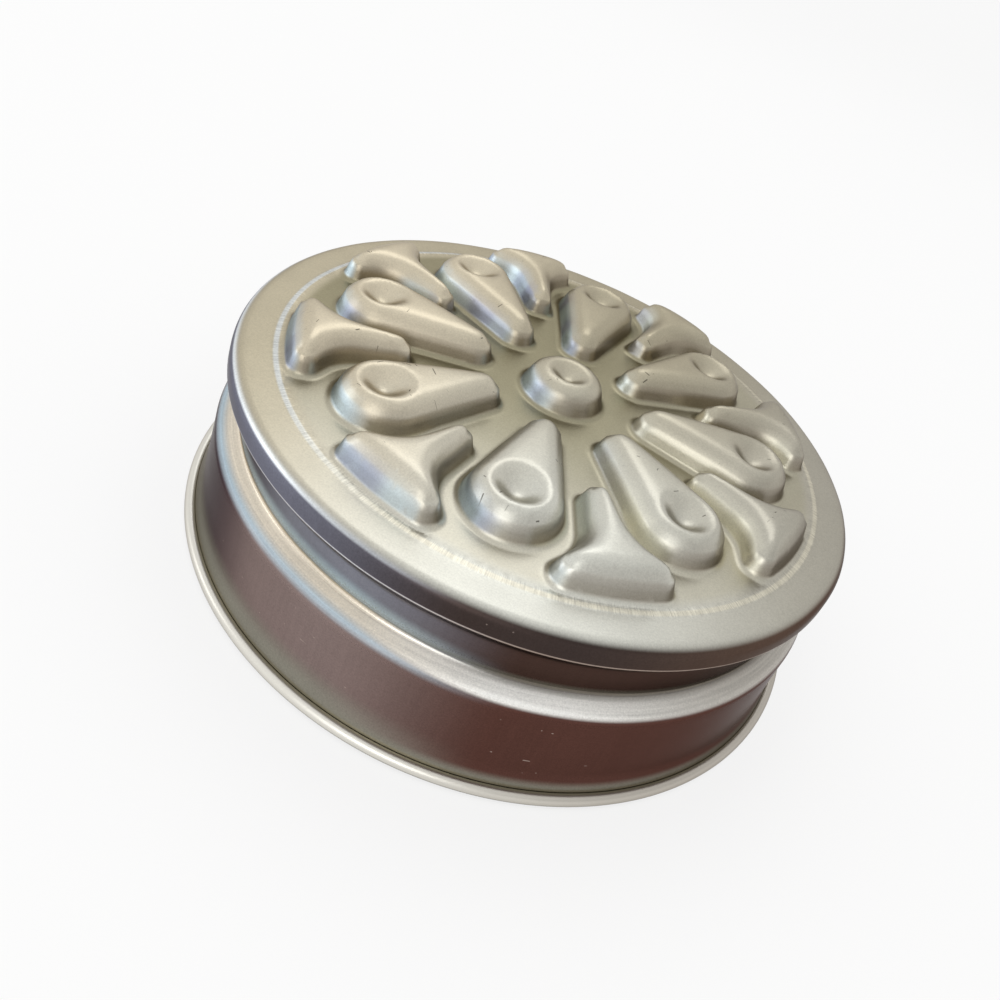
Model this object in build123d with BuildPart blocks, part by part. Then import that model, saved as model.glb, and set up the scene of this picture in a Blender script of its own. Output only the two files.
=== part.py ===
from build123d import *
from math import radians, tan
import os

# Round cake pan standing on its rim, mouth down, in millimetres.
# The origin is the centre of the rim's resting plane and +Z points to the relief.

# Sheet and wired rim
sheet = 0.9
rim_radius = 125.0
curl_inner_radius = 1.3
curl_radius = curl_inner_radius + sheet
wire_radius = 1.25
rim_flat_depth = 0.05
curl_gap_height = 1.2
curl_gap_width = 0.5

# Side wall, outer surface, from the rim up
foot_z = 4.4
flare_top_z = 10.0
wall_foot_radius = 119.6
wall_top_radius = 118.2
shoulder_foot_z = 30.0
shoulder_radius = 117.7
shoulder_z = 38.0
ledge_radius = 110.2
ledge_z = 41.0
neck_top_radius = 111.2
neck_top_z = 54.5
band_radius = 116.4
band_top_radius = 116.0
band_foot_z = 61.0
border_z = 69.0
wall_rounds = (4.5, 1.2, 5.0, 1.5, 4.0, 3.0, 12.0, 1.5)

# Top face
crease_radius = 101.5
dome_rise = 1.5
dome_half_rise = 1.125
relief_height = 12.0
relief_base_z = 64.0
draft_angle = 10.0
relief_round = 3.0

# Rosette of petals, of fans cut by the border circle, and a button.
# Outlines are given at the level of the border.
motif_count = 8
petal_inner_r = 36.0
petal_inner_round = 8.0
petal_outer_r = 72.0
petal_outer_round = 17.0
fan_inner_r = 56.0
fan_inner_half_width = 5.4
fan_waist_r = 81.0
fan_waist_half_width = 8.9
fan_outer_r = 99.5
fan_outer_half_width = 33.0
fan_inner_round = 5.2
fan_waist_round = 16.0
fan_outer_round = 6.0
button_radius = 16.0

# Dimples pressed back into the motifs: distance from the axis, half width, depth
dimple_round = 2.0
petal_dimples = ((73.0, 9.5, 5.0),)
button_dimples = ((0.0, 7.0, 3.6),)

curl_center_r = rim_radius - curl_radius
curl_center_z = curl_radius - rim_flat_depth
curl_wall_r = curl_center_r - curl_inner_radius
relief_top_z = border_z + relief_height
relief_spread = (border_z - relief_base_z) * tan(radians(draft_angle))


def section_line(inset):
    """Pan surface in section, from the axis down to the curl, moved into the sheet by inset."""
    wall = FilletPolyline(
        (crease_radius, border_z),
        (band_top_radius, border_z),
        (band_radius, band_foot_z),
        (neck_top_radius, neck_top_z),
        (ledge_radius, ledge_z),
        (shoulder_radius, shoulder_z),
        (wall_top_radius, shoulder_foot_z),
        (wall_foot_radius, flare_top_z),
        (curl_wall_r, foot_z),
        (curl_wall_r, curl_center_z),
        radius=wall_rounds,
    )
    if inset:
        wall = offset(wall, amount=inset, side=Side.RIGHT, closed=False)
    with BuildLine() as line:
        ThreePointArc(
            (0, border_z + dome_rise - inset),
            (crease_radius / 2, border_z + dome_half_rise - inset),
            (crease_radius, border_z - inset),
        )
        add(wall)
    return line.line


def form_of_revolution(inset):
    """Solid between the section line and the axis."""
    with BuildPart() as body:
        with BuildSketch(Plane.XZ):
            with BuildLine():
                add(section_line(inset))
                Polyline(
                    (curl_wall_r - inset, curl_center_z),
                    (0, curl_center_z),
                    (0, border_z + dome_rise - inset),
                )
            make_face()
        revolve(axis=Axis.Z)
    return body.part


def puffed(outline, inset, dimples):
    """One pressed motif: drafted sides, rounded top edge and bowl dimples."""
    with BuildPart() as motif:
        with BuildSketch(Plane.XY.offset(relief_base_z)):
            add(outline(relief_spread - inset))
        extrude(amount=relief_top_z - inset - relief_base_z, taper=draft_angle)
        fillet(motif.faces().sort_by(Axis.Z)[-1].edges(), relief_round - inset)
        for distance, half_width, depth in dimples:
            bowl_radius = (half_width**2 + depth**2) / (2 * depth)
            with Locations((distance, 0, relief_top_z + bowl_radius - depth)):
                Sphere(bowl_radius + inset, mode=Mode.SUBTRACT)
        if dimples:
            lips = motif.faces().filter_by(GeomType.SPHERE).edges()
            fillet(lips, dimple_round - inset)
    return motif.part


def petal_outline(spread):
    """Petal, the hull of its two end rounds."""
    with BuildSketch() as outline:
        with Locations((petal_inner_r, 0)):
            Circle(petal_inner_round + spread)
        with Locations((petal_outer_r, 0)):
            Circle(petal_outer_round + spread)
        make_hull()
    return outline.sketch


def fan_outline(spread):
    """Fan between two petals, spreading to a circle beside the border."""
    with BuildSketch() as outline:
        Polygon(
            (fan_inner_r, -fan_inner_half_width),
            (fan_waist_r, -fan_waist_half_width),
            (fan_outer_r, -fan_outer_half_width),
            (fan_outer_r, fan_outer_half_width),
            (fan_waist_r, fan_waist_half_width),
            (fan_inner_r, fan_inner_half_width),
            align=None,
        )
        Circle(fan_outer_r, mode=Mode.INTERSECT)
        fillet(outline.vertices().group_by(Axis.X)[1], fan_waist_round)
        fillet(outline.vertices().group_by(Axis.X)[0], fan_inner_round)
        fillet(outline.vertices().group_by(Axis.X)[-1], fan_outer_round)
        offset(amount=spread, mode=Mode.REPLACE)
    return outline.sketch


def button_outline(spread):
    """Round button at the centre."""
    with BuildSketch() as outline:
        Circle(button_radius + spread)
    return outline.sketch


def pressed_form(inset):
    """Whole form of the pan: the section turned about the axis, with its relief."""
    petal = puffed(petal_outline, inset, petal_dimples)
    fan = puffed(fan_outline, inset, ())
    button = puffed(button_outline, inset, button_dimples)
    with BuildPart() as whole:
        add(form_of_revolution(inset))
        with PolarLocations(0, motif_count):
            add(petal)
        with PolarLocations(0, motif_count, start_angle=180 / motif_count):
            add(fan)
        add(button)
    return whole.part


# One drawn aluminium sheet, with its edge curled round the wire
outer_form = pressed_form(0)
inner_form = pressed_form(sheet)

with BuildPart() as pan_shell:
    add(outer_form)
    add(inner_form, mode=Mode.SUBTRACT)
    with BuildSketch(Plane.XZ):
        with Locations((curl_center_r, curl_center_z)):
            Circle(curl_radius)
            Circle(curl_inner_radius, mode=Mode.SUBTRACT)
        with Locations((curl_wall_r - sheet, curl_center_z)):
            Rectangle(
                sheet + curl_gap_width,
                curl_gap_height,
                align=(Align.MIN, Align.MIN),
                mode=Mode.SUBTRACT,
            )
        with Locations((curl_center_r, 0)):
            Rectangle(
                2 * curl_radius,
                curl_radius,
                align=(Align.CENTER, Align.MAX),
                mode=Mode.SUBTRACT,
            )
    revolve(axis=Axis.Z)

# Steel wire inside the curl
with BuildPart() as rim_wire:
    with BuildSketch(Plane.XZ):
        with Locations((curl_center_r, curl_center_z)):
            Circle(wire_radius)
    revolve(axis=Axis.Z)

os.makedirs("parts", exist_ok=True)
pan_shell.part.label = "pan_shell"
rim_wire.part.label = "rim_wire"
export_step(pan_shell.part, "parts/pan_shell.step")
export_step(rim_wire.part, "parts/rim_wire.step")
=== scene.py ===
import math

import bmesh
import bpy
import numpy as np
from mathutils import Matrix, Vector, noise
from mathutils.geometry import delaunay_2d_cdt


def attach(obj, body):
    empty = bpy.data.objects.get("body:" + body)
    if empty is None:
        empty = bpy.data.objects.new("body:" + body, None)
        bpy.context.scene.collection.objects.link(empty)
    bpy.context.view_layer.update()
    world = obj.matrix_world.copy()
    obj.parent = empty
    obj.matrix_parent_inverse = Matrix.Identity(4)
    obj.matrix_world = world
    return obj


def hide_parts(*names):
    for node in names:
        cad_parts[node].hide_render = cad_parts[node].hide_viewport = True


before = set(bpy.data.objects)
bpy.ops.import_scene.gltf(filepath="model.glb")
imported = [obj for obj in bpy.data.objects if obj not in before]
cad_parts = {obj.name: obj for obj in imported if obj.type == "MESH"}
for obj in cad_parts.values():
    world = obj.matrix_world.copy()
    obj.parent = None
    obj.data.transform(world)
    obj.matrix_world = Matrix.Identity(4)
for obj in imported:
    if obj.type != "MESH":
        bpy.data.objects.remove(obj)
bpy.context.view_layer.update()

# A round cake pan on a pale floor. It stands on its rim, mouth down.
# Sizes are in millimetres until a mesh is made. Blender's own unit is the metre.
MM = 0.001

# Sheet and wired rim
sheet = 0.9
rim_radius = 125.0
curl_inner_radius = 1.3
curl_radius = curl_inner_radius + sheet
rim_flat_depth = 0.05
curl_center_r = rim_radius - curl_radius
curl_center_z = curl_radius - rim_flat_depth
curl_wall_r = curl_center_r - curl_inner_radius

# The curl leaves the wall at half a turn and goes round to its cut edge
curl_start = math.pi
curl_end = math.radians(484)

# Side wall, outer surface: its levels, its corners from the face down to the curl, and their rounds
border_z = 69.0
band_foot_z = 61.0
neck_top_z = 54.5
ledge_z = 41.0
shoulder_z = 38.0
shoulder_foot_z = 30.0
flare_top_z = 10.0
foot_z = 4.4
face_edge_r = 104.0
band_radius = 116.4
wall_corners = (
    (face_edge_r, border_z),
    (116.0, border_z),
    (band_radius, band_foot_z),
    (111.2, neck_top_z),
    (110.2, ledge_z),
    (117.7, shoulder_z),
    (118.2, shoulder_foot_z),
    (119.6, flare_top_z),
    (curl_wall_r, foot_z),
    (curl_wall_r, curl_center_z),
)
wall_rounds = (4.5, 1.2, 5.0, 1.5, 4.0, 3.0, 12.0, 1.5)

# Face: a shallow dome inside a crease, and the relief that rises from it
crease_radius = 101.5
crease_height = 0.3
crease_width = 1.1
dome_rise = 1.5
edge_height = 11.0
crown_height = 1.0
side_angle = math.radians(72)
foot_round = 2.6
top_round = 6.5

# Rosette of petals, of fans cut by the border circle, and a button
motif_count = 8
wedge = math.pi / motif_count
petal_inner_r = 36.0
petal_inner_round = 8.0
petal_outer_r = 72.0
petal_outer_round = 17.0
fan_inner_r = 56.0
fan_inner_half_width = 5.4
fan_waist_r = 81.0
fan_waist_half_width = 8.9
fan_outer_r = 99.5
fan_outer_half_width = 33.0
fan_inner_round = 5.2
fan_waist_round = 16.0
fan_outer_round = 6.0
button_radius = 16.0

# Crowns: a petal's falls off along it from its middle, and a fan's widens from its stem
petal_crown_middle = 62.0
petal_crown_reach = 38.0
fan_crown_half_width = 8.0
fan_crown_widening = 25.0
fan_crown_start = 66.0
fan_crown_run = 33.0

# Dimples: distance from the axis, half width, depth
petal_dimple = (73.0, 10.5, 5.6)
button_dimple = (0.0, 8.5, 4.4)

# Unevenness of the drawn sheet: slow and fine waves, which fade in above the foot of the wall
slow_wave_height = 0.13
slow_wave_length = 34
fine_wave_height = 0.05
fine_wave_length = 11
fine_wave_shift = Vector((7, 3, 1))
wave_foot_z = 6
wave_fade = 20

# Mesh steps
ring_columns = 14
wall_columns = 2 * motif_count * ring_columns
turn_step = math.radians(10)
run_step = 3.2
curl_rows = 21
outline_step = 1.5
outline_turn = math.radians(13)
edge_step = 2.0
fill_step = 2.4
fill_row_share = 0.87
petal_dimple_step = 1.5
button_dimple_step = 1.3
dimple_run = 1.8
point_gap = 0.6
on_edge = 1e-4
weld_gap = 0.01
sharp_turn = math.radians(50)

# Ridges are averaged over a disc of samples, one golden turn after the other,
# and the average takes over where a motif's side is near its top
blend_radius = 3.5
blend_samples = 24
golden_turn = 2.4
blend_start = 0.55
blend_fade = 0.3

# Oxide dulls the aluminium where it is seen at a grazing angle
edge_tint = (0.55, 0.53, 0.52, 1.0)

# The painted reflections on the walls change with the side: toward these two ways, and behind
left_way = (-0.9, -0.43, 0.0)
right_way = (0.97, -0.26, 0.0)

# At the left the painted highlight, shade and reflections of the ledge sit this much higher than the
# ledge does
ledge_highlight_lift = 1.8

# Most of the knife marks lie round this place of the face, within this reach
worn_place = (-52.0, -42.0, 0.0)
worn_reach = 42.0


def unit(angle):
    """Unit vector at an angle, or one row for each of several angles."""
    return np.stack([np.cos(angle), np.sin(angle)], axis=-1)


# Section of the wall


def with_runs(points, step):
    """The points, without repeats, and with more of them along each run longer than step."""
    out = [points[0]]
    for start, end in zip(points[:-1], points[1:]):
        count = math.ceil(np.linalg.norm(end - start) / step - 1e-6)
        for k in range(1, count + 1):
            out.append(start + (end - start) * k / count)
    return np.array(out)


def rounded(corners, rounds):
    """A line through the corners, with each inner corner turned on its round."""
    corners = np.array(corners)
    out = [corners[0]]
    for before, corner, after, radius in zip(corners[:-2], corners[1:-1], corners[2:], rounds):
        along = (corner - before) / np.linalg.norm(corner - before)
        onward = (after - corner) / np.linalg.norm(after - corner)
        cross = along[0] * onward[1] - along[1] * onward[0]
        turn = math.atan2(cross, along @ onward)
        start = corner - along * radius * math.tan(abs(turn) / 2)
        side = math.copysign(1.0, turn)
        middle = start + side * radius * np.array([-along[1], along[0]])
        first = math.atan2(*(start - middle)[::-1])
        steps = max(2, math.ceil(abs(turn) / turn_step))
        for k in range(steps + 1):
            out.append(middle + radius * unit(first + turn * k / steps))
    out.append(corners[-1])
    return np.array(out)


def wall_section():
    """Outer surface of the sheet from the face's edge to the cut end inside the curl."""
    wall = with_runs(rounded(wall_corners, wall_rounds), run_step)
    turns = np.linspace(curl_start, curl_end, curl_rows + 1)[1:]
    curl = np.array([curl_center_r, curl_center_z]) + curl_inner_radius * unit(turns)
    return np.vstack([wall, curl])


# Outlines of the motifs, each as (point, outward normal) rows along its upper half


def along_arcs(arcs):
    """Rows along arcs of (middle, radius, first and last normal angle), joined by straight runs."""
    rows = []
    for middle, radius, first, last in arcs:
        turn = abs(last - first)
        steps = max(2, math.ceil(abs(radius) * turn / outline_step), math.ceil(turn / outline_turn))
        normals = unit(np.linspace(first, last, steps + 1))
        rows.append(np.hstack([np.array(middle) + radius * normals, normals]))
    return with_runs(np.vstack(rows), outline_step)


def round_middle(corner, radius, first_normal, second_normal):
    """Middle of the round of a corner, on the side that the normals of its two lines point to."""
    return corner + radius * (first_normal + second_normal) / (1 + first_normal @ second_normal)


def petal_half():
    """Petal: the hull of its two end rounds."""
    tangent = math.acos((petal_inner_round - petal_outer_round) / (petal_outer_r - petal_inner_r))
    return along_arcs(
        (
            ((petal_outer_r, 0), petal_outer_round, 0, tangent),
            ((petal_inner_r, 0), petal_inner_round, tangent, math.pi),
        )
    )


def fan_half():
    """Fan: narrow between two petals, then spreading to the circle beside the border."""
    inner_corner = np.array([fan_inner_r, fan_inner_half_width])
    waist = np.array([fan_waist_r, fan_waist_half_width])
    outer_corner = np.array([fan_outer_r, fan_outer_half_width])
    stem = math.atan2(*(waist - inner_corner)[::-1]) + math.pi / 2
    slant = math.atan2(*(outer_corner - waist)[::-1]) + math.pi / 2
    stem_normal, slant_normal, tip_normal = unit(stem), unit(slant), np.array([-1.0, 0.0])
    waist_middle = round_middle(waist, fan_waist_round, stem_normal, slant_normal)
    tip_middle = round_middle(inner_corner, -fan_inner_round, stem_normal, tip_normal)
    base = waist - fan_outer_round * slant_normal
    ahead = unit(slant - math.pi / 2)
    reach = fan_outer_r - fan_outer_round
    run = -base @ ahead + math.sqrt((base @ ahead) ** 2 - base @ base + reach**2)
    outer_middle = base + run * ahead
    outer = math.atan2(outer_middle[1], outer_middle[0])
    rows = along_arcs(
        (
            ((0, 0), fan_outer_r, 0, outer),
            (outer_middle, fan_outer_round, outer, slant),
            (waist_middle, -fan_waist_round, slant, stem),
            (tip_middle, fan_inner_round, stem, math.pi),
        )
    )
    tip = np.array([fan_inner_r, 0, *tip_normal])
    return with_runs(np.vstack([rows, tip]), outline_step)


def turned(points, angle):
    """Points turned about the axis."""
    c, s = math.cos(angle), math.sin(angle)
    return points @ np.array([[c, s], [-s, c]])


def closed(half):
    """The whole outline of a half, as a closed line of points."""
    points = half[:, :2]
    return np.vstack([points, points[-2::-1] * (1, -1)])


def distance(points, line):
    """Signed distance to a closed line, negative inside it."""
    starts, ends = line[:-1], line[1:]
    runs = ends - starts
    away = points[:, None] - starts
    share = np.clip((away * runs).sum(-1) / (runs * runs).sum(-1), 0, 1)
    near = np.linalg.norm(away - share[..., None] * runs, axis=-1).min(1)
    x, y = points[:, :1], points[:, 1:]
    spans = (starts[:, 1] > y) != (ends[:, 1] > y)
    height = np.where(runs[:, 1] == 0, 1, runs[:, 1])
    crossing = starts[:, 0] + (y - starts[:, 1]) * runs[:, 0] / height
    inside = (spans & (x < crossing)).sum(1) % 2 == 1
    return np.where(inside, -near, near)


petal_rows = petal_half()
fan_rows = fan_half()
petal_line = closed(petal_rows)
fan_line = closed(fan_rows)

# Height of the face. A motif's side is a foot round, a slope and a top round:
# it starts foot_reach outside the outline and ends at the plateau, inside it.

foot_reach = foot_round * math.tan(side_angle / 2)
plateau = -edge_height / math.tan(side_angle) - top_round * math.tan(side_angle / 2)


def pressed(d):
    """Height of a motif's side, from 0 to 1, at distance d outside its outline."""
    foot = foot_round - np.sqrt(np.maximum(foot_round**2 - (foot_reach - d) ** 2, 0))
    slope = -d * math.tan(side_angle)
    top = edge_height - top_round + np.sqrt(np.maximum(top_round**2 - (d - plateau) ** 2, 0))
    where_foot = d > -foot_reach * math.cos(side_angle)
    where_slope = d > plateau + top_round * math.sin(side_angle)
    conditions = [d > foot_reach, where_foot, where_slope, d > plateau]
    return np.select(conditions, [0 * d, foot, slope, top], edge_height) / edge_height


def motif(points, line):
    """Share of a motif's height, with its ridges rounded by averaging over a small disc."""
    share = pressed(distance(points, line))
    total = share.copy()
    for k in range(blend_samples):
        reach = blend_radius * math.sqrt((k + 0.5) / blend_samples)
        total += pressed(distance(points + reach * unit(golden_turn * k), line))
    blend = np.clip((share - blend_start) / blend_fade, 0, 1)
    return share + blend * (total / (blend_samples + 1) - share)


def bowls(points):
    """Depth of the dimples, each with a soft lip, anywhere on the face."""
    turns = np.arctan2(points[:, 1], points[:, 0])
    turns -= 2 * wedge * np.round(turns / (2 * wedge))
    points = np.linalg.norm(points, axis=1)[:, None] * unit(turns)
    total = 0
    for place, half_width, depth in (petal_dimple, button_dimple):
        share = ((points[:, 0] - place) ** 2 + points[:, 1] ** 2) / half_width**2
        total = total + depth * np.maximum(1 - share, 0) ** 2
    return total


def motif_heights(points):
    """Share of the relief's height and the height over the border, on one half sector."""
    fan_points = turned(points, -wedge)
    radii = np.linalg.norm(points, axis=1)
    petal = motif(points, petal_line)
    fan = motif(fan_points, fan_line)
    button = pressed(radii - button_radius)
    petal_crown = 1 - ((points[:, 0] - petal_crown_middle) / petal_crown_reach) ** 2
    petal_crown -= (points[:, 1] / petal_outer_round) ** 2
    widening = np.clip((fan_points[:, 0] - fan_crown_start) / fan_crown_run, 0, 1) ** 2
    fan_width = fan_crown_half_width + fan_crown_widening * widening
    fan_crown = 1 - (fan_points[:, 1] / fan_width) ** 2
    button_crown = 1 - (radii / button_radius) ** 2
    height = 0
    for share, crown in ((petal, petal_crown), (fan, fan_crown), (button, button_crown)):
        height = height + share * (edge_height + crown_height * crown)
    return petal + fan + button, height


def face_height(points):
    """Height of the face over the rim's resting plane, on one half sector."""
    radii = np.linalg.norm(points, axis=1)
    share, height = motif_heights(points)
    dome = dome_rise * np.maximum(1 - (radii / crease_radius) ** 2, 0)
    crease = crease_height * np.exp(-(((radii - crease_radius) / crease_width) ** 2))
    return border_z + dome * (1 - share) + crease + height


# Mesh of the face on one half sector, from a petal's middle line to a fan's


def side_levels():
    """Distances from an outline at which its side gets a row of points."""
    turns = np.linspace(0, side_angle, 6)
    foot = foot_reach - foot_round * np.sin(turns)
    top = plateau + top_round * np.sin(turns)
    before, half_way, after = foot_reach + 0.9, (foot[-1] + top[-1]) / 2, plateau - 1.2
    return np.concatenate([[before], foot, [half_way], top, [after]])


def in_wedge(points):
    """Points of the half sector, with those beside its two edges moved onto them or left out."""
    radii = np.linalg.norm(points, axis=1)
    low = points[:, 1]
    high = turned(points, -wedge)[:, 1]
    kept = (low > -on_edge) & (high < on_edge) & (radii < crease_radius - point_gap)
    on_low, on_high = abs(low) < on_edge, abs(high) < on_edge
    kept &= on_low | (low > point_gap / 2)
    kept &= on_high | (high < -point_gap / 2)
    points = np.where(on_low[:, None], np.stack([radii, 0 * radii], 1), points)
    points = np.where(on_high[:, None], radii[:, None] * unit(wedge), points)
    return points[kept]


def beside_outline(rows, line, other_line, turn, other_turn):
    """Rows of points along a motif's side, up to half way to the motif beside it."""
    groups = []
    for level in side_levels():
        points = turned(rows[:, :2] + level * rows[:, 2:], turn)
        own = distance(turned(points, -turn), line)
        other = distance(turned(points, -other_turn), other_line)
        groups.append(points[(abs(own - level) < 0.05) & (own < other - point_gap / 2)])
    return in_wedge(np.vstack(groups))


def dimple_points(dimple, step):
    """Rings over the part of a dimple that the half sector holds, out to just past its lip."""
    middle, half_width = dimple[:2]
    groups = [np.array([[middle, 0.0]])]
    for radius in np.arange(step, half_width + step, step):
        count = max(4, round(math.pi * radius / dimple_run))
        groups.append(radius * unit(np.linspace(0, math.pi, count + 1)) + (middle, 0))
    return in_wedge(np.vstack(groups))


def sector_rings(radii, columns):
    """Rings about the axis, as far as the half sector goes."""
    turns = np.linspace(0, wedge, columns + 1)
    return np.vstack([radius * unit(turns) for radius in radii])


def fill_points():
    """A plain triangle grid for the level places."""
    rows = []
    for k in range(int(fan_outer_r / (fill_step * fill_row_share))):
        xs = np.arange(0, fan_outer_r, fill_step) + fill_step / 2 * (k % 2)
        rows.append(np.stack([xs, 0 * xs + k * fill_step * fill_row_share], 1))
    return in_wedge(np.vstack(rows))


def edge_points():
    """Points along the two straight edges of the half sector."""
    radii = np.arange(0, crease_radius - edge_step, edge_step)
    return np.vstack([radii[:, None] * unit(0.0), radii[:, None] * unit(wedge)])


def joined(groups):
    """All the points, without those that come too near a point of an earlier group."""
    points = groups[0]
    for group in groups[1:]:
        gaps = np.linalg.norm(group[:, None] - points, axis=-1).min(1)
        points = np.vstack([points, group[gaps > point_gap]])
    return points


def sector_points():
    """Flat points of one half sector. Where groups meet, the earlier one keeps its points."""
    return joined(
        [
            sector_rings(np.linspace(face_edge_r, crease_radius - 0.2, 5), ring_columns),
            beside_outline(petal_rows, petal_line, fan_line, 0.0, wedge),
            beside_outline(fan_rows * (1, -1, 1, -1), fan_line, petal_line, wedge, 0.0),
            sector_rings(button_radius + side_levels(), 4),
            dimple_points(petal_dimple, petal_dimple_step),
            dimple_points(button_dimple, button_dimple_step),
            edge_points(),
            fill_points(),
        ]
    )


def sector_mesh():
    """Points with height, and triangles, of one half sector."""
    found = delaunay_2d_cdt([Vector(p) for p in sector_points()], [], [], 0, 1e-7)
    flat = np.array([tuple(p) for p in found[0]])
    triangles = np.array(found[2])
    corners = flat[triangles]
    first, second = corners[:, 1] - corners[:, 0], corners[:, 2] - corners[:, 0]
    areas = first[:, 0] * second[:, 1] - first[:, 1] * second[:, 0]
    triangles = np.where((areas < 0)[:, None], triangles[:, ::-1], triangles)[abs(areas) > 1e-3]
    return np.column_stack([flat, face_height(flat)]), triangles


def face_mesh():
    """The whole face from its sixteen half sectors."""
    points, triangles = sector_mesh()
    all_points, all_triangles = [], []
    for k in range(motif_count):
        for mirror in (1, -1):
            flat = turned(points[:, :2] * (1, mirror), 2 * wedge * k)
            all_triangles.append(triangles[:, ::mirror] + len(points) * len(all_points))
            all_points.append(np.column_stack([flat, points[:, 2]]))
    return np.vstack(all_points), np.vstack(all_triangles)


# Mesh of the whole sheet


def wall_mesh(section):
    """The wall and the curl as a grid of rings."""
    turns = np.linspace(0, 2 * math.pi, wall_columns, endpoint=False)
    rings = [np.column_stack([r * unit(turns), np.full(wall_columns, z)]) for r, z in section]
    grid = np.arange(len(section) * wall_columns).reshape(len(section), wall_columns)
    above, below = grid[:-1], grid[1:]
    quads = np.stack([above, below, np.roll(below, -1, 1), np.roll(above, -1, 1)], -1)
    return np.vstack(rings), quads.reshape(-1, 4)


def unevenness(point):
    """Height of the sheet's waves at a point."""
    wave = slow_wave_height * noise.noise(Vector(point) / slow_wave_length)
    wave += fine_wave_height * noise.noise(Vector(point) / fine_wave_length + fine_wave_shift)
    return wave * min(max((point[2] - wave_foot_z) / wave_fade, 0), 1)


def dented(points):
    """The points with the dimples and the waves, which go up on the face and outward on the wall."""
    out = points.copy()
    on_face = np.linalg.norm(points[:, :2], axis=1) < crease_radius
    out[on_face, 2] -= bowls(points[on_face, :2])
    for point in out:
        wave = unevenness(point)
        if point[2] > border_z - 3:
            point[2] += wave
        else:
            point[:2] *= 1 + wave / math.hypot(point[0], point[1])
    return out


def outer_surface():
    """Outer surface of the sheet as one welded mesh."""
    face_points, triangles = face_mesh()
    wall_points, quads = wall_mesh(wall_section())
    points = dented(np.vstack([face_points, wall_points]))
    faces = triangles.tolist() + (quads + len(face_points)).tolist()
    shape = bpy.data.meshes.new("pan_sheet")
    shape.from_pydata((points * MM).tolist(), [], faces)
    welded = bmesh.new()
    welded.from_mesh(shape)
    bmesh.ops.remove_doubles(welded, verts=welded.verts, dist=weld_gap * MM)
    bmesh.ops.recalc_face_normals(welded, faces=welded.faces)
    welded.to_mesh(shape)
    welded.free()
    return shape


def make_shell():
    """The pan's sheet: its outer surface, thickened inwards."""
    shape = outer_surface()
    shape.materials.append(outer_finish())
    shape.materials.append(inner_finish())
    shell = bpy.data.objects.new("pan_sheet", shape)
    bpy.context.collection.objects.link(shell)
    thick = shell.modifiers.new("sheet", "SOLIDIFY")
    thick.thickness = sheet * MM
    thick.offset = -1
    thick.use_even_offset = True
    thick.material_offset = 1
    applied = bpy.data.meshes.new_from_object(shell.evaluated_get(bpy.context.evaluated_depsgraph_get()))
    shell.modifiers.clear()
    shell.data = applied
    applied.shade_smooth()
    applied.set_sharp_from_angle(angle=sharp_turn)
    return shell


# Tools for the materials


class Graph:
    """Short calls for the nodes of one material or world, around its own shader node."""

    def __init__(self, owner, shader="Principled BSDF"):
        self.owner = owner
        owner.use_nodes = True
        self.tree = owner.node_tree
        self.shader = self.tree.nodes[shader]

    def node(self, kind, *inputs, **settings):
        made = self.tree.nodes.new(kind)
        for name, value in settings.items():
            setattr(made, name, value)
        for socket, value in zip(made.inputs, inputs):
            self.feed(socket, value)
        return made

    def feed(self, socket, value):
        """Link another node's output to the socket, or set its number or colour."""
        if isinstance(value, bpy.types.NodeSocket):
            self.tree.links.new(value, socket)
        else:
            socket.default_value = value

    def math(self, operation, *inputs):
        return self.node("ShaderNodeMath", *inputs, operation=operation).outputs[0]

    def add(self, first, *others):
        for other in others:
            first = self.math("ADD", first, other)
        return first

    def times(self, first, *others):
        for other in others:
            first = self.math("MULTIPLY", first, other)
        return first

    def vector(self, operation, *inputs, output=0):
        return self.node("ShaderNodeVectorMath", *inputs, operation=operation).outputs[output]

    def dot(self, first, second):
        return self.vector("DOT_PRODUCT", first, second, output="Value")

    def length(self, value):
        return self.vector("LENGTH", value, output="Value")

    def split(self, value):
        return self.node("ShaderNodeSeparateXYZ", value).outputs

    def join(self, *values):
        return self.node("ShaderNodeCombineXYZ", *values).outputs[0]

    def step(self, value, low, high, kind="SMOOTHSTEP"):
        """0 below low and 1 above high, with a soft change between them."""
        made = self.node("ShaderNodeMapRange", interpolation_type=kind)
        for socket, number in zip(made.inputs, (value, low, high, 0.0, 1.0)):
            self.feed(socket, number)
        return made.outputs[0]

    def between(self, value, low, high, soft):
        """1 from low to high, fading out over a soft width at both ends."""
        rising = self.step(value, low - soft / 2, low + soft / 2)
        return self.times(rising, self.step(value, high + soft / 2, high - soft / 2))

    def mix(self, share, first, second, blend="MIX"):
        made = self.node("ShaderNodeMix", data_type="RGBA", blend_type=blend)
        for index, value in ((0, share), (6, first), (7, second)):
            self.feed(made.inputs[index], value)
        return made.outputs[2]

    def shaded(self, colour, share):
        """The colour, times one number."""
        return self.mix(1.0, colour, self.join(share, share, share), "MULTIPLY")

    def noise(self, place, scale, detail=3.0, roughness=0.5):
        """Noise from 0 to 1."""
        made = self.node("ShaderNodeTexNoise")
        settings = {"Vector": place, "Scale": scale, "Detail": detail, "Roughness": roughness}
        for name, value in settings.items():
            self.feed(made.inputs[name], value)
        return made.outputs["Fac"]

    def swing(self, place, scale, detail, roughness):
        """Noise that swings about 0."""
        return self.math("SUBTRACT", self.noise(place, scale, detail, roughness), 0.5)

    def bump(self, height, distance, strength):
        made = self.node("ShaderNodeBump")
        for name, value in {"Strength": strength, "Distance": distance, "Height": height}.items():
            self.feed(made.inputs[name], value)
        return made.outputs[0]


def rgb(red, green, painted_blue_reflection):
    """Linear colour of an sRGB triple from 0 to 255."""
    values = [v / 255 for v in (red, green, painted_blue_reflection)]
    return [v / 12.92 if v <= 0.04045 else ((v + 0.055) / 1.055) ** 2.4 for v in values] + [1.0]


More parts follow.
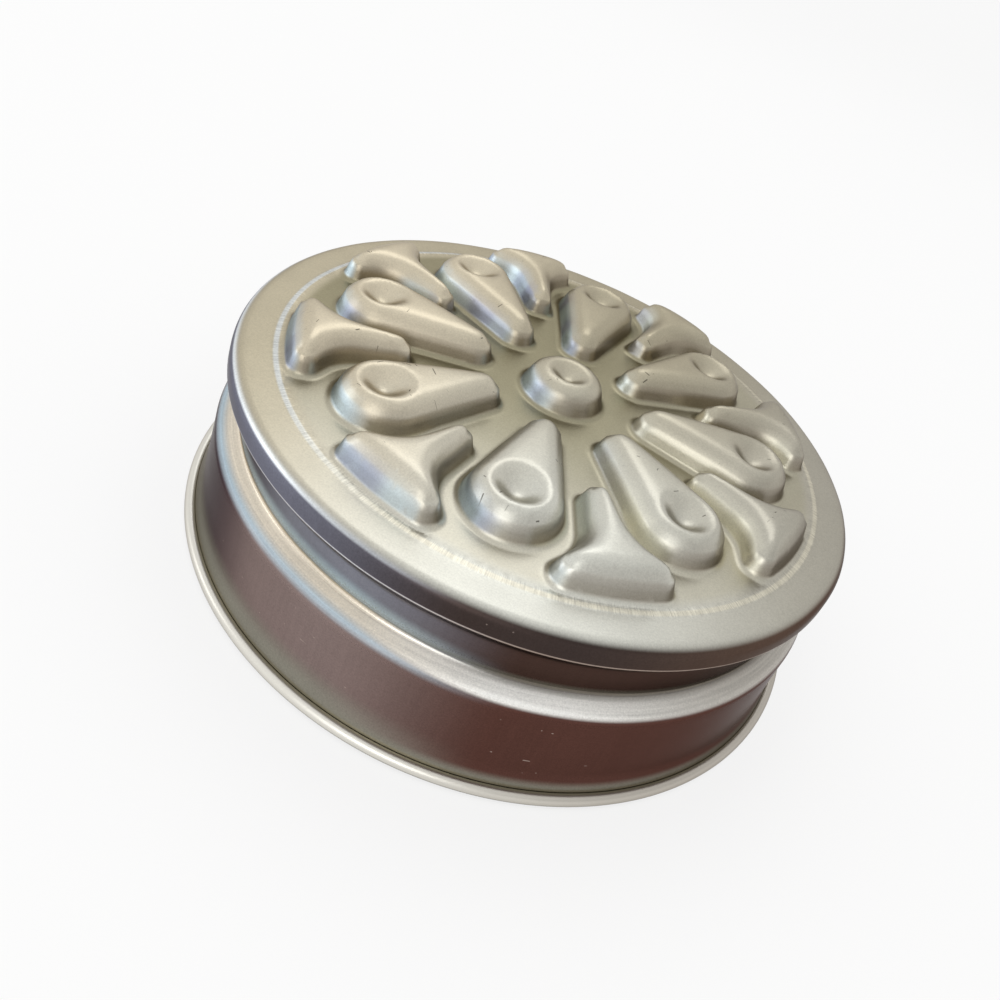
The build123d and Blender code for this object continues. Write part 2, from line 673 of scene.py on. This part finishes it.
def coordinates(graph):
    """Object place in millimetres, its flat part, height, radius and direction from the axis."""
    place = graph.node("ShaderNodeTexCoord").outputs["Object"]
    place = graph.vector("MULTIPLY", place, (1 / MM,) * 3)
    x, y, z = graph.split(place)
    flat = graph.join(x, y, 0.0)
    return place, flat, z, graph.length(flat), graph.vector("NORMALIZE", flat)


def ticks(graph, place, size, length, width, share):
    """Short straight scratches, one to a cell of this size, in about that share of the cells."""
    cells = graph.node("ShaderNodeTexVoronoi")
    graph.feed(cells.inputs["Vector"], place)
    cells.inputs["Scale"].default_value = 1 / size
    random = graph.split(cells.outputs["Color"])
    offset = graph.vector("SUBTRACT", place, cells.outputs["Position"])
    turn = graph.times(random[0], 2 * math.pi)
    direction = graph.join(graph.math("COSINE", turn), graph.math("SINE", turn), 0.0)
    along = graph.dot(offset, direction)
    scaled = graph.node("ShaderNodeVectorMath", direction, operation="SCALE")
    graph.feed(scaled.inputs["Scale"], along)
    across = graph.length(graph.vector("SUBTRACT", offset, scaled.outputs[0]))
    near = graph.math("SUBTRACT", 1.0, graph.step(across, width * 0.4, width))
    reach = graph.times(graph.add(random[1], 0.35), length)
    within = graph.math("LESS_THAN", graph.math("ABSOLUTE", along), reach)
    chosen = graph.math("LESS_THAN", random[2], share)
    return graph.times(near, within, chosen)


def spun(graph, outward, round_scale, along, along_scale):
    """Noise that follows the turned form: finer round the axis, or along the section."""
    scaled = graph.vector("MULTIPLY", outward, (round_scale, round_scale, 0.0))
    x, y, _ = graph.split(scaled)
    place = graph.join(x, y, graph.times(along, along_scale))
    return graph.swing(place, 1.0, detail=5.0, roughness=0.62)


# Outside of the sheet


def wall_sides(graph, outward):
    """Three shares of the way round to the left, and one of the way to the right or behind: where the
    walls' painted reflections and shade change.
    """
    toward_left = graph.dot(outward, left_way)
    left = graph.step(toward_left, 0.25, 0.72)
    fully_left = graph.step(toward_left, 0.42, 0.95)
    far_left = graph.step(toward_left, 0.84, 0.99)
    right = graph.step(graph.dot(outward, right_way), 0.5, 1.0)
    behind = graph.step(graph.split(outward)[1], 0.0, 0.7)
    return left, fully_left, far_left, graph.math("MAXIMUM", right, behind)


def ledge_tones(graph, colour, z, left, aside):
    """Painted highlight on the ledge, and painted shade in the line at its top. At the left they sit
    higher, between painted blue reflections.
    """
    level = graph.add(z, graph.times(left, -ledge_highlight_lift))
    # Painted blue reflection below and above the ledge, at the left only
    below = graph.between(level, shoulder_z - 2.1, shoulder_z, 2.4)
    above = graph.between(level, ledge_z - 0.5, ledge_z + 4, 5.0)
    colour = graph.mix(graph.times(graph.add(below, above), left, 0.75), colour, rgb(204, 226, 238))
    # Painted highlight on the ledge, dimmer to the right and behind
    painted_highlight = graph.mix(left, rgb(252, 251, 246), rgb(232, 221, 202))
    painted_highlight = graph.mix(aside, painted_highlight, rgb(186, 181, 172))
    colour = graph.mix(graph.between(level, shoulder_z - 0.6, ledge_z - 0.5, 1.4), colour, painted_highlight)
    # Painted shade in the inner corner where the ledge meets the neck
    line = graph.between(level, ledge_z - 0.3, ledge_z + 0.1, 0.3)
    return graph.mix(graph.times(line, 0.4), colour, rgb(96, 92, 88))


def wall_colour(graph, z, outward):
    """Walls dark brown, partly browned by baking and partly a painted dark reflection, between painted
    highlights at their edges; greyer and bluer round to the left as painted reflection.
    """
    left, fully_left, far_left, aside = wall_sides(graph, outward)
    # Lower and upper wall: painted dark reflection in front, grey and violet round to the left, over the
    # baked brown
    lower = graph.mix(left, rgb(87, 58, 51), rgb(136, 119, 115))
    lower = graph.mix(far_left, lower, rgb(56, 41, 50))
    upper = graph.mix(left, rgb(72, 54, 48), rgb(138, 139, 149))
    upper = graph.mix(far_left, upper, rgb(76, 72, 84))
    # The band under the face: painted shade in front, painted bluish reflection at the left
    painted_band_shade = graph.mix(fully_left, rgb(64, 54, 51), rgb(120, 122, 136))
    painted_band_shade = graph.mix(aside, painted_band_shade, rgb(90, 72, 62))
    # Olive: painted reflection on the flare above the foot and at the foot of the neck
    painted_olive_reflection = rgb(138, 136, 124)
    # Painted highlight along the band's lower corner
    painted_band_highlight = graph.mix(left, rgb(186, 168, 156), rgb(232, 232, 236))

    colour = graph.mix(graph.step(z, shoulder_z, ledge_z + 1), lower, upper)
    low_flare = graph.step(z, flare_top_z - 1.5, flare_top_z - 5)
    high_flare = graph.step(z, flare_top_z + 7, flare_top_z - 3)
    colour = graph.mix(graph.times(graph.mix(left, low_flare, high_flare), 0.9), colour, painted_olive_reflection)
    neck_foot = graph.between(z, ledge_z - 1, ledge_z + 2, 2.0)
    colour = graph.mix(graph.times(neck_foot, 0.5), colour, painted_olive_reflection)
    colour = graph.mix(graph.step(z, band_foot_z - 1.5, band_foot_z + 0.5), colour, painted_band_shade)
    colour = ledge_tones(graph, colour, z, left, aside)
    at_line = graph.between(z, band_foot_z - 0.7, band_foot_z + 0.4, 0.5)
    colour = graph.mix(at_line, colour, painted_band_highlight)
    # Painted highlight along the face's rounded edge, at the left
    painted_edge_highlight = graph.between(z, border_z - 1.8, border_z - 0.6, 0.8)
    colour = graph.mix(graph.times(painted_edge_highlight, fully_left), colour, rgb(236, 242, 246))
    # Painted shade in the groove above the curl
    return graph.mix(graph.step(z, foot_z + 1.2, foot_z + 0.2), colour, rgb(136, 130, 112))


def face_colour(graph, flat, z, radius):
    """Sandy silver of the face, with painted reflection: bright in front, warm at the left, darker olive
    in the low places; a painted highlight on the crease.
    """
    share = graph.vector("MULTIPLY", flat, (1 / band_radius,) * 3)
    x, y, _ = graph.split(share)
    # Painted reflection: brighter in front, darker and warmer behind, greyer at the right, warmer at the
    # left
    colour = graph.mix(graph.step(y, -0.9, 0.4), rgb(212, 212, 203), rgb(180, 172, 150))
    colour = graph.mix(graph.step(x, 0.2, 1.0), colour, rgb(176, 172, 160))
    colour = graph.mix(graph.step(x, 0.1, -0.9), colour, rgb(190, 181, 158))
    on_tops = graph.step(z, border_z + 4, border_z + 9)
    # Painted warm reflection on the relief's tops at the left
    painted_warm_tops = graph.times(on_tops, graph.step(x, 0.1, -0.6), 0.7)
    colour = graph.mix(painted_warm_tops, colour, rgb(218, 207, 184))
    # Painted dark olive reflection in the low places between the motifs, mostly behind and less to the
    # right
    inside_crease = graph.step(radius, crease_radius - 0.5, crease_radius - 5.5)
    low = graph.times(graph.step(z, border_z + 6, border_z + 1.6), inside_crease)
    less_right = graph.add(0.5, graph.times(graph.step(x, 0.7, 0.0), 0.5))
    olive_share = graph.times(graph.step(y, -0.85, -0.1), less_right)
    painted_field_reflection = graph.mix(olive_share, rgb(200, 196, 180), rgb(148, 142, 116))
    colour = graph.mix(graph.times(low, 0.85), colour, painted_field_reflection)
    # Painted highlight on the crease, bluish at the left
    on_crease = graph.between(radius, crease_radius - 0.2, crease_radius + 1.5, 0.8)
    painted_crease_highlight = graph.mix(graph.step(x, -0.2, -0.8), rgb(222, 216, 196), rgb(224, 232, 238))
    return graph.mix(graph.times(on_crease, 0.6), colour, painted_crease_highlight)


def painted_side_light(graph, colour, z, flat):
    """Painted light on the relief's steep sides: painted reflection, pale blue in the left half and
    sandy in the right half, where they face the left front; painted shade where they face the right
    front.
    """
    normal = graph.node("ShaderNodeTexCoord").outputs["Normal"]
    steep = graph.step(graph.split(normal)[2], 0.9, 0.35)
    steep = graph.times(steep, graph.step(z, border_z + 0.2, border_z + 1.5))
    left = graph.dot(normal, (-0.82, -0.57, 0.0))
    right = graph.dot(normal, (0.75, -0.66, 0.0))
    patch = graph.noise(flat, 0.06, detail=1.0)
    painted_blue_reflection = graph.mix(graph.step(patch, 0.35, 0.65), rgb(216, 238, 250), rgb(166, 178, 208))
    right_half = graph.step(graph.split(flat)[0], 0.0, 42.0)
    painted_highlight = graph.mix(right_half, painted_blue_reflection, rgb(240, 237, 218))
    # Painted reflection on sides facing the left front
    colour = graph.mix(graph.times(steep, graph.step(left, 0.45, 0.95), 0.85), colour, painted_highlight)
    # Painted shade on sides facing the right front
    return graph.mix(graph.times(steep, graph.step(right, 0.2, 0.9), 0.6), colour, rgb(112, 100, 88))


def marked(graph, colour, place, flat, z, walls):
    """Handling marks: dark ticks in patches on the relief, and pale nicks on the walls."""
    away = graph.length(graph.vector("SUBTRACT", flat, worn_place))
    worn = graph.times(graph.step(away, worn_reach, 10.0), 0.24)
    spread = graph.add(graph.noise(flat, 0.07, detail=1.0), worn)
    patches = graph.times(graph.step(spread, 0.53, 0.59), graph.step(z, border_z + 5, border_z + 9))
    coarse = ticks(graph, flat, size=5.0, length=2.0, width=0.26, share=0.7)
    shifted = graph.vector("ADD", flat, (40.0, 15.0, 0.0))
    small = ticks(graph, shifted, size=2.2, length=0.9, width=0.24, share=0.75)
    dark = graph.times(graph.math("MAXIMUM", coarse, small), patches)
    colour = graph.mix(graph.times(dark, 0.85), colour, rgb(66, 62, 54))
    nick_patches = graph.step(graph.noise(place, 0.05, detail=1.0), 0.48, 0.6)
    nicks = ticks(graph, place, size=5.0, length=2.0, width=0.3, share=0.4)
    nicks = graph.times(nicks, nick_patches, walls)
    return graph.mix(graph.times(nicks, 0.6), colour, rgb(186, 168, 158))


def outer_finish():
    """Satin aluminium: pale and sandy on the face with painted reflection and shade, a painted highlight
    on the ledge, and walls dark from baking and from painted dark reflection.
    """
    graph = Graph(bpy.data.materials.new("drawn_aluminium_outside"))
    place, flat, z, radius, outward = coordinates(graph)
    on_top = graph.step(z, border_z - 1.6, border_z - 0.1)
    on_crease = graph.times(on_top, graph.between(radius, crease_radius - 1.3, crease_radius + 1.9, 1.2))
    neck = graph.between(z, ledge_z + 4, border_z - 2.5, 4.0)
    ledge = graph.between(z, shoulder_z - 3, ledge_z + 3, 4.0)
    lower_wall = graph.between(z, flare_top_z + 1, shoulder_foot_z + 3, 5.0)
    walls = graph.add(lower_wall, neck)

    face = painted_side_light(graph, face_colour(graph, flat, z, radius), z, flat)
    colour = graph.mix(on_top, wall_colour(graph, z, outward), face)

    # Draw lines run up the dark walls, turning lines round the ledge, short marks across the crease
    grain = graph.swing(place, 1.7, detail=3.0, roughness=0.75)
    cloud = graph.swing(place, 0.035, detail=3.0, roughness=0.6)
    upright = spun(graph, outward, 70.0, z, 0.02)
    rings = spun(graph, outward, 2.5, z, 3.0)
    hatch = spun(graph, outward, 230.0, radius, 0.15)
    shade = graph.add(1.0, graph.times(upright, walls, 0.22))
    shade = graph.add(shade, graph.times(rings, graph.add(graph.times(ledge, 0.6), 0.06)))
    shade = graph.add(shade, graph.times(hatch, on_crease, 1.2))
    shade = graph.add(shade, graph.times(grain, graph.add(graph.times(on_top, -0.15), 0.7)))
    shade = graph.add(shade, graph.times(cloud, 0.2))
    colour = marked(graph, graph.shaded(colour, shade), place, flat, z, walls)
    graph.feed(graph.shader.inputs["Base Color"], colour)

    # The ledge is worn matt, so it scatters light more than it mirrors it
    scattering = graph.between(z, shoulder_z - 1, ledge_z - 0.2, 1.6)
    graph.feed(graph.shader.inputs["Metallic"], graph.add(1.0, graph.times(scattering, -0.85)))
    graph.shader.inputs["Specular Tint"].default_value = edge_tint
    rough = graph.add(0.3, graph.times(graph.step(z, band_foot_z - 0.5, border_z - 3), 0.04))
    rough = graph.add(rough, graph.times(ledge, -0.05), graph.times(grain, 0.12))
    graph.feed(graph.shader.inputs["Roughness"], rough)
    fine = graph.add(grain, graph.times(rings, ledge))
    graph.feed(graph.shader.inputs["Normal"], graph.bump(fine, 0.045 * MM, 0.7))
    return graph.owner


# Inside of the sheet, and the wire


def inner_finish():
    """Inside of the pan, with turning rings and faint baking stains.

    The curl turns this side out, so it also has the bead: pale, with painted shade toward the right and
    on its lower edge.
    """
    graph = Graph(bpy.data.materials.new("drawn_aluminium_inside"))
    place, _, z, radius, outward = coordinates(graph)
    stain = graph.noise(place, 0.03, detail=4.0, roughness=0.6)
    colour = graph.mix(graph.step(stain, 0.4, 0.75), rgb(190, 188, 180), rgb(170, 158, 134))
    on_curl = graph.step(radius, curl_wall_r - 0.9, curl_wall_r - 0.1)
    bead = graph.times(on_curl, graph.step(z, foot_z + 1, foot_z + 0.4))
    # Painted shade: the bead darker toward the right
    right = graph.step(graph.dot(outward, right_way), 0.1, 0.9)
    colour = graph.mix(bead, colour, graph.mix(right, rgb(230, 227, 218), rgb(190, 184, 174)))
    # Painted shade on the bead's lower edge, which is also less metallic
    bead_edge_shade = graph.times(bead, graph.step(z, curl_radius, curl_radius / 2))
    colour = graph.mix(graph.times(bead_edge_shade, 0.85), colour, rgb(98, 93, 82))
    rings = spun(graph, outward, 2.5, graph.add(radius, z), 1.6)
    grain = graph.swing(place, 2.6, detail=2.0, roughness=0.7)
    shade = graph.add(0.95, graph.times(rings, 0.2), graph.times(grain, 0.12))
    graph.feed(graph.shader.inputs["Base Color"], graph.shaded(colour, shade))
    graph.feed(graph.shader.inputs["Metallic"], graph.add(1.0, graph.times(bead_edge_shade, -0.9)))
    graph.shader.inputs["Specular Tint"].default_value = edge_tint
    graph.feed(graph.shader.inputs["Roughness"], graph.add(0.34, graph.times(rings, 0.2)))
    graph.feed(graph.shader.inputs["Normal"], graph.bump(grain, 0.03 * MM, 0.5))
    return graph.owner


def wire_finish():
    """Drawn steel wire with lengthwise die lines and a little rust tint."""
    graph = Graph(bpy.data.materials.new("wire_steel_drawn"))
    place, _, z, radius, _ = coordinates(graph)
    across = graph.join(graph.times(radius, 8.0), graph.times(z, 8.0), 0.0)
    lines = graph.noise(across, 1.0)
    rust = graph.step(graph.noise(place, 0.4), 0.5, 0.8)
    colour = graph.mix(rust, rgb(150, 148, 144), rgb(128, 104, 84))
    shade = graph.add(0.8, graph.times(lines, 0.4))
    graph.feed(graph.shader.inputs["Base Color"], graph.shaded(colour, shade))
    graph.shader.inputs["Metallic"].default_value = 1.0
    graph.feed(graph.shader.inputs["Roughness"], graph.add(0.3, graph.times(lines, 0.2)))
    return graph.owner


# Floor, light and camera, in metres

floor_half_width = 60.0
floor_z = -0.0001
lamp_aim = Vector((0.0, 0.0, 0.05))
sky_top = Vector((-0.3, 0.2, 0.9)).normalized()
sky_low_level = 0.45
sky_rise = 0.5
seen_level = 0.97
camera_place = Vector((0.0, -0.2727, 0.2291))
camera_way = Vector((-0.0151, 0.7846, -0.6198)).normalized()
camera_lean = math.radians(23.16)


def seen_rays(graph):
    """1 for rays of the camera, of reflections and of glass."""
    rays = graph.node("ShaderNodeLightPath").outputs
    seen = graph.math("MAXIMUM", rays["Is Camera Ray"], rays["Is Glossy Ray"])
    return graph.math("MAXIMUM", seen, rays["Is Transmission Ray"])


def floor_finish():
    """Matt white, which seen rays find mostly at full white, so that it still keeps a shadow."""
    graph = Graph(bpy.data.materials.new("floor_pale"))
    soft = graph.noise(graph.node("ShaderNodeTexCoord").outputs["Object"], 2.0, detail=2.0)
    colour = graph.mix(soft, (0.93, 0.93, 0.925, 1.0), (0.95, 0.95, 0.945, 1.0))
    graph.feed(graph.shader.inputs["Base Color"], colour)
    graph.shader.inputs["Roughness"].default_value = 0.9
    graph.shader.inputs["Specular IOR Level"].default_value = 0.1
    white = graph.node("ShaderNodeEmission", (1.0, 1.0, 1.0, 1.0), 1.0).outputs[0]
    share = graph.times(seen_rays(graph), 0.72)
    both = graph.node("ShaderNodeMixShader", share, graph.shader.outputs[0], white).outputs[0]
    graph.feed(graph.tree.nodes["Material Output"].inputs["Surface"], both)
    return graph.owner


def make_floor():
    """A wide floor just under the bead."""
    shape = bpy.data.meshes.new("floor")
    half = floor_half_width
    corners = [(-half, -half), (half, -half), (half, half), (-half, half)]
    shape.from_pydata([(x, y, floor_z) for x, y in corners], [], [(0, 1, 2, 3)])
    shape.materials.append(floor_finish())
    floor = bpy.data.objects.new("floor", shape)
    bpy.context.collection.objects.link(floor)


def make_lamp(name, place, size, power):
    """A square soft box aimed at the pan."""
    data = bpy.data.lights.new(name, "AREA")
    data.size = size
    data.energy = power
    lamp = bpy.data.objects.new(name, data)
    lamp.location = place
    lamp.rotation_euler = (lamp_aim - Vector(place)).to_track_quat("-Z", "Y").to_euler()
    bpy.context.collection.objects.link(lamp)


def make_light():
    """Soft boxes from behind, from the left and from the front."""
    make_lamp("key", (-0.2, 1.05, 1.5), size=1.0, power=2.6)
    make_lamp("window", (-1.4, -0.3, 0.55), size=0.6, power=1.1)
    make_lamp("fill", (-0.2, -1.5, 0.9), size=1.0, power=4.4)


def make_world():
    """A pale sky, dimmer high up at the right, and seen white near the horizon."""
    world = bpy.data.worlds.new("studio")
    bpy.context.scene.world = world
    graph = Graph(world, "Background")
    way = graph.node("ShaderNodeTexCoord").outputs["Generated"]
    rise = graph.times(graph.step(graph.dot(way, sky_top), -0.5, 0.95, "LINEAR"), sky_rise)
    level = graph.add(sky_low_level, rise)
    horizon = graph.times(graph.step(graph.split(way)[2], 0.6, 0.3), seen_rays(graph))
    lift = graph.times(horizon, graph.math("SUBTRACT", seen_level, level))
    graph.shader.inputs["Color"].default_value = (1.0, 1.0, 1.0, 1.0)
    graph.feed(graph.shader.inputs["Strength"], graph.add(level, lift))


def make_camera():
    """The photograph's view: from the front and above, leaning to the left."""
    side = camera_way.cross(Vector((0, 0, 1))).normalized()
    up = side.cross(camera_way)
    right = side * math.cos(camera_lean) + up * math.sin(camera_lean)
    top = up * math.cos(camera_lean) - side * math.sin(camera_lean)
    data = bpy.data.cameras.new("camera")
    data.sensor_width = 36.0
    data.lens = 30.6
    data.clip_start = 0.01
    camera = bpy.data.objects.new("camera", data)
    bpy.context.collection.objects.link(camera)
    turn = Matrix((right, top, -camera_way)).transposed().to_4x4()
    camera.matrix_world = Matrix.Translation(camera_place) @ turn
    bpy.context.scene.camera = camera


make_camera()
pan = make_shell()
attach(pan, "root")
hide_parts("pan_shell")
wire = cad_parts["rim_wire"]
wire.data.materials.clear()
wire.data.materials.append(wire_finish())
make_floor()
make_light()
make_world()
bpy.context.scene.view_settings.view_transform = "Standard"
